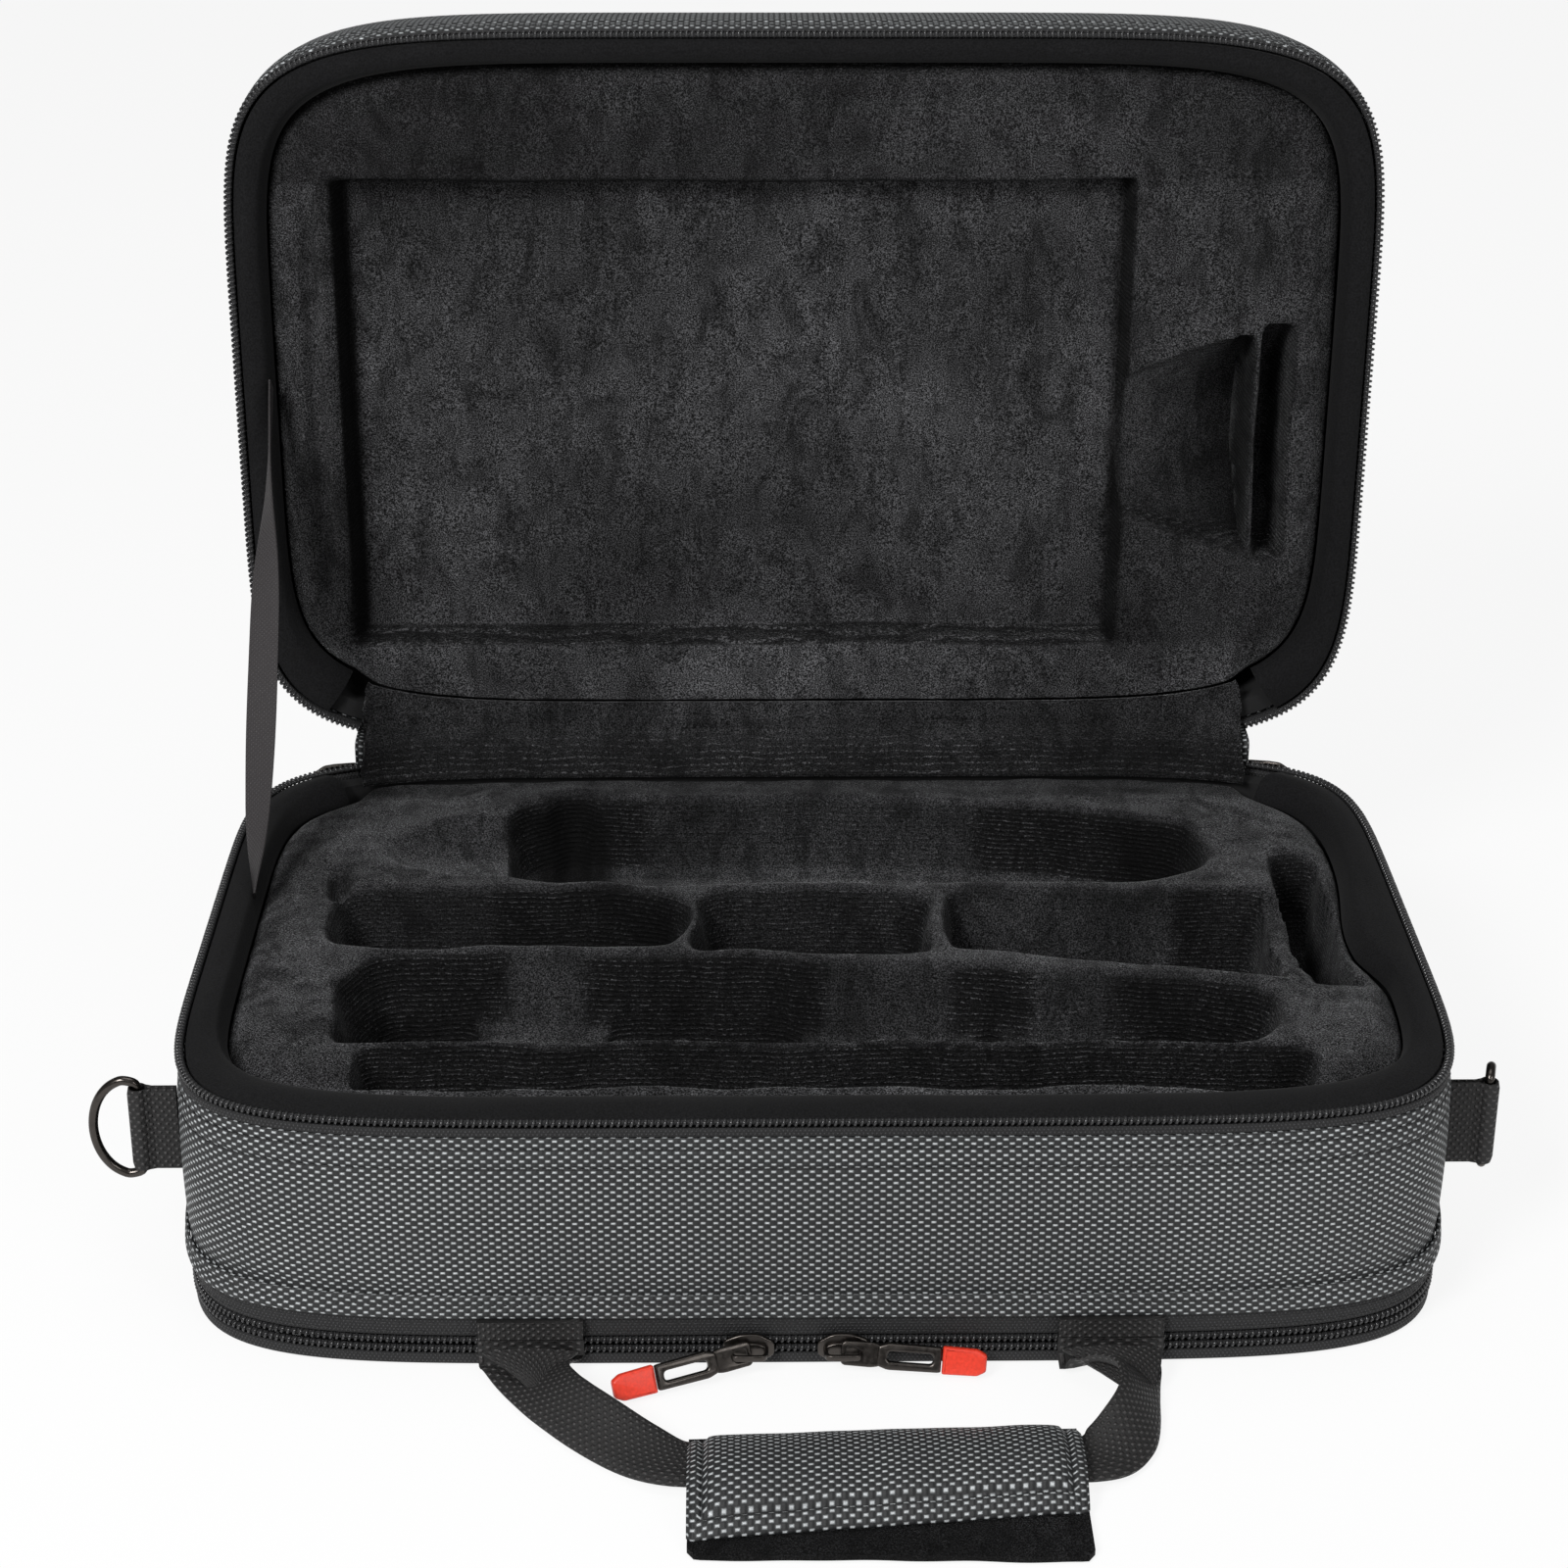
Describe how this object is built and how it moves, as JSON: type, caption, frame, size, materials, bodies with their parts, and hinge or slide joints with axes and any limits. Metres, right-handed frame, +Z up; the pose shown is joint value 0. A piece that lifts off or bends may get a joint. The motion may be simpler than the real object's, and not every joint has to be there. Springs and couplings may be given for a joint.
{
  "type": "instrument case",
  "caption": "Soft zipped clarinet case standing open: grey woven shell, moulded black plush wells, lid on a fabric hinge with a stay, zipped pocket underneath, folding handle and end rings.",
  "frame": {"origin": "centre of the underside of the pocket's floor panel, on which the case stands", "axes": "+Z up, -Y towards the front with the handle, +X towards the end with the bell well"},
  "size_m": [0.4102, 0.379, 0.3262],
  "materials": {
    "woven_fabric": "matt basket weave",
    "black_plush": "short dense pile",
    "zip_tape": "matt woven tape",
    "zip_coil": "satin nylon coil",
    "liner_cloth": "smooth matt lining",
    "webbing": "ribbed polyester webbing",
    "foam_board": "rigid foam",
    "dark_metal": "dark gunmetal plating, semi-gloss",
    "red_tip": "satin moulded grip"
  },
  "bodies": {
    "base": {"base_edge_band": "liner_cloth", "base_fabric_shell": "woven_fabric", "base_foam_tray": "foam_board", "base_insert": "black_plush", "base_seam_flap": "woven_fabric", "base_zip_chain": "zip_coil", "base_zip_tape": "zip_tape", "handle_root_left": "webbing", "handle_root_right": "webbing", "hinge_outer_panel": "woven_fabric", "hinge_plush_flap": "black_plush", "main_slider_left": "dark_metal", "main_slider_right": "dark_metal", "pocket_back_wall": "woven_fabric", "pocket_upper_chain": "zip_coil", "pocket_upper_tape": "zip_tape", "ring_tab_left": "webbing", "ring_tab_right": "webbing", "stay_ribbon": "webbing"},
    "lid": {"lid_fabric_shell": "woven_fabric", "lid_foam_shell": "foam_board", "lid_zip_tape": "zip_tape", "lid_zip_chain": "zip_coil", "lid_edge_band": "liner_cloth", "lid_insert": "black_plush"},
    "pocket_floor": {"pocket_panel": "woven_fabric", "pocket_lower_tape": "zip_tape", "pocket_lower_chain": "zip_coil"},
    "handle": {"handle_webbing": "webbing", "handle_grip_wrap": "woven_fabric", "handle_grip_lining": "black_plush"},
    "ring_left": {"d_ring_left": "dark_metal"},
    "ring_right": {"d_ring_right": "dark_metal"},
    "pocket_zip_slider_left": {"pocket_slider_left": "dark_metal"},
    "pocket_zip_pull_left": {"pocket_pull_left": "dark_metal", "pocket_pull_tip_left": "red_tip"},
    "main_zip_pull_left": {"main_pull_left": "dark_metal", "main_pull_tip_left": "red_tip"},
    "pocket_zip_slider_right": {"pocket_slider_right": "dark_metal"},
    "pocket_zip_pull_right": {"pocket_pull_right": "dark_metal", "pocket_pull_tip_right": "red_tip"},
    "main_zip_pull_right": {"main_pull_right": "dark_metal", "main_pull_tip_right": "red_tip"}
  },
  "joints": [
    {"name": "lid", "type": "hinge", "parent": "base", "child": "lid", "pos_m": [0, 0.1232, 0.0812], "axis": [1, 0, 0], "range_deg": [0, 90], "deforming": ["hinge_outer_panel", "hinge_plush_flap", "stay_ribbon"]},
    {"name": "pocket_floor", "type": "hinge", "parent": "base", "child": "pocket_floor", "pos_m": [0, 0.12155, 0.003], "axis": [1, 0, 0], "range_deg": [0, 90]},
    {"name": "handle", "type": "hinge", "parent": "base", "child": "handle", "pos_m": [0.001, -0.1229, 0.0103], "axis": [-1, 0, 0], "range_deg": [0, 76]},
    {"name": "ring_left", "type": "hinge", "parent": "base", "child": "ring_left", "pos_m": [-0.19527, -0.075, 0.052], "axis": [0, 0, 1], "range_deg": [-110, 110]},
    {"name": "ring_right", "type": "hinge", "parent": "base", "child": "ring_right", "pos_m": [0.19527, -0.075, 0.052], "axis": [0, 0, 1], "range_deg": [-185, 35]},
    {"name": "pocket_zip_slider_left", "type": "slide", "parent": "base", "child": "pocket_zip_slider_left", "axis": [-1, 0, 0], "range_m": [-0.003, 0.007]},
    {"name": "pocket_zip_pull_left", "type": "hinge", "parent": "pocket_zip_slider_left", "child": "pocket_zip_pull_left", "pos_m": [-0.0195, -0.1255, 0.0073], "axis": [-0.1825, 0.3363, 0.9239], "range_deg": [0, 75]},
    {"name": "main_zip_pull_left", "type": "hinge", "parent": "base", "child": "main_zip_pull_left", "pos_m": [-0.15992, 0.11676, 0.0761], "axis": [0.1311, 0.049, 0.9902], "range_deg": [0, 84]},
    {"name": "pocket_zip_slider_right", "type": "slide", "parent": "base", "child": "pocket_zip_slider_right", "axis": [1, 0, 0], "range_m": [-0.003, 0.017]},
    {"name": "pocket_zip_pull_right", "type": "hinge", "parent": "pocket_zip_slider_right", "child": "pocket_zip_pull_right", "pos_m": [0.0072, -0.1255, 0.0073], "axis": [-0.0753, -0.341, -0.937], "range_deg": [0, 88]},
    {"name": "main_zip_pull_right", "type": "hinge", "parent": "base", "child": "main_zip_pull_right", "pos_m": [0.15992, 0.11676, 0.0761], "axis": [0.1311, -0.049, -0.9902], "range_deg": [0, 84]}
  ]
}
